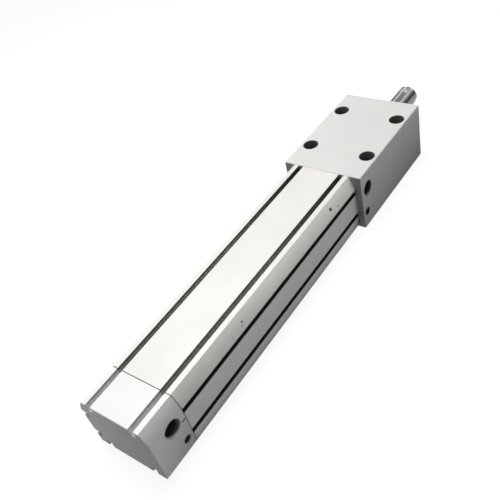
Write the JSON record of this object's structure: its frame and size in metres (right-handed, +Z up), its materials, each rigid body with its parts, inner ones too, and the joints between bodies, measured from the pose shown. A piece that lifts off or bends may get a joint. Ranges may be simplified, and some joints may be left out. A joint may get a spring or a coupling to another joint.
{
  "type": "precision cylinder",
  "caption": "Guided air cylinder: slotted aluminium tube, wide bolt-down front block, plain rear cover and a ball spline rod that slides without turning.",
  "frame": {"origin": "middle of the front block's underside, the face that is bolted down", "axes": "+X across, out of the air ports; +Y along the rod, out of the front; +Z up, out of the face with the screw counterbores"},
  "size_m": [0.0488, 0.2891, 0.0358],
  "materials": {
    "block_aluminium": "machined and clear anodised, satin",
    "tube_aluminium": "extruded and clear anodised, satin, warm white on top",
    "cover_aluminium": "machined and clear anodised, satin",
    "carrier_aluminium": "turned",
    "shaft_steel": "ground and polished",
    "nut_steel": "ground",
    "ball_steel": "polished",
    "bolt_steel": "black oxide",
    "needle_steel": "turned",
    "black_rubber": "matte",
    "wiper_rubber": "matte",
    "seal_urethane": "smooth",
    "bumper_urethane": "smooth",
    "cap_resin": "moulded",
    "wear_resin": "moulded",
    "magnet_compound": "moulded"
  },
  "bodies": {
    "barrel": {"front_block": "block_aluminium", "cylinder_tube": "tube_aluminium", "rear_cover": "cover_aluminium", "tie_bolts": "bolt_steel", "rod_cover": "carrier_aluminium", "rod_seal": "black_rubber", "rod_wiper": "wiper_rubber", "spline_nut": "nut_steel", "nut_key": "bolt_steel", "nut_cap_rear": "cap_resin", "nut_cap_front": "cap_resin", "spline_balls": "ball_steel", "rear_cover_o_ring": "black_rubber", "tube_front_o_ring": "black_rubber", "rod_cover_o_ring": "black_rubber", "rear_cushion_seal": "seal_urethane", "front_cushion_seal": "seal_urethane", "rear_bumper": "bumper_urethane", "front_bumper": "bumper_urethane"},
    "rod": {"spline_shaft": "shaft_steel", "cushion_sleeve": "carrier_aluminium", "cushion_spear": "carrier_aluminium", "piston_rear_half": "carrier_aluminium", "piston_front_half": "carrier_aluminium", "piston_magnet": "magnet_compound", "piston_stud_o_ring": "black_rubber", "piston_wear_ring": "wear_resin", "piston_seal_rear": "black_rubber", "piston_seal_front": "black_rubber"},
    "front_needle_screw": {"front_needle": "needle_steel", "front_needle_o_ring": "black_rubber"},
    "rear_needle_screw": {"rear_needle": "needle_steel", "rear_needle_o_ring": "black_rubber"}
  },
  "joints": [
    {"name": "rod_slide", "type": "slide", "parent": "barrel", "child": "rod", "axis": [0, 1, 0], "range_m": [0, 0.1]},
    {"name": "front_needle_turn", "type": "hinge", "parent": "barrel", "child": "front_needle_screw", "pos_m": [0.0218, -0.0336, 0.0098], "axis": [1, 0, 0], "range_deg": [0, 720]},
    {"name": "rear_needle_turn", "type": "hinge", "parent": "barrel", "child": "rear_needle_screw", "pos_m": [0.0184, -0.1982, 0.0097], "axis": [1, 0, 0], "range_deg": [0, 720]}
  ]
}
